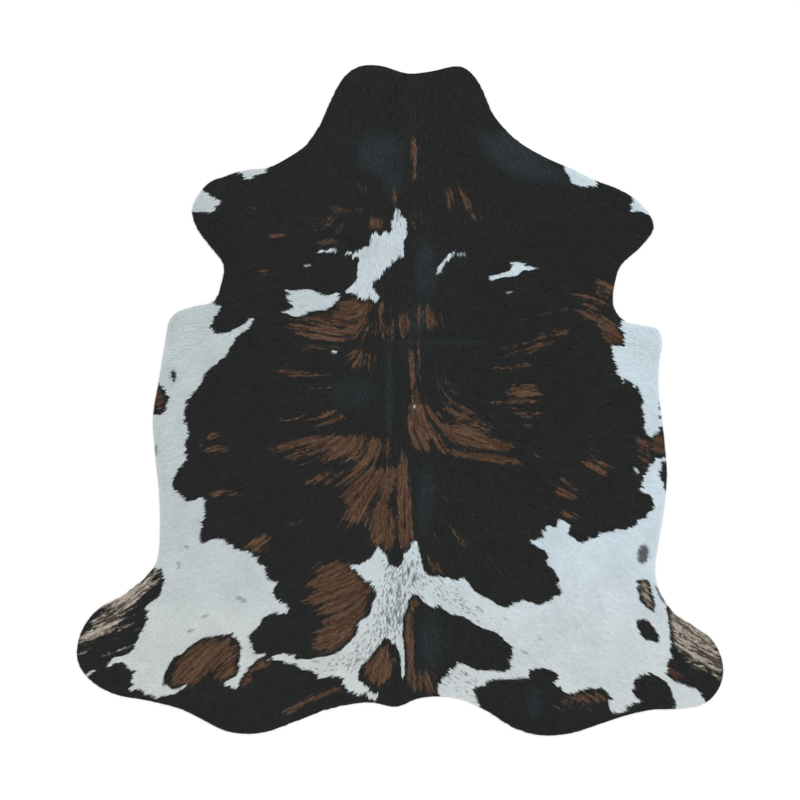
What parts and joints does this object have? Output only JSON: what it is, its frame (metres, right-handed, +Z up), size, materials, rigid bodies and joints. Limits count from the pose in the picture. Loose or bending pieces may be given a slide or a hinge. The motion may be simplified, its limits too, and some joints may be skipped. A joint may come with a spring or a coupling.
{
  "type": "cowhide rug",
  "caption": "Whole cowhide rug lying flat: one smooth-edged leather sheet in the spread shape of the hide, with its short lying hair coat on top.",
  "frame": {"origin": "centre of the hide's outline box, on the floor face under the leather", "axes": "+Y along the spine towards the neck, +X to the right seen from above, +Z up out of the hair side"},
  "size_m": [2.1162, 2.1972, 0.0079],
  "materials": {
    "coat": "matte"
  },
  "bodies": {
    "root": {"hide": "coat"}
  },
  "joints": []
}
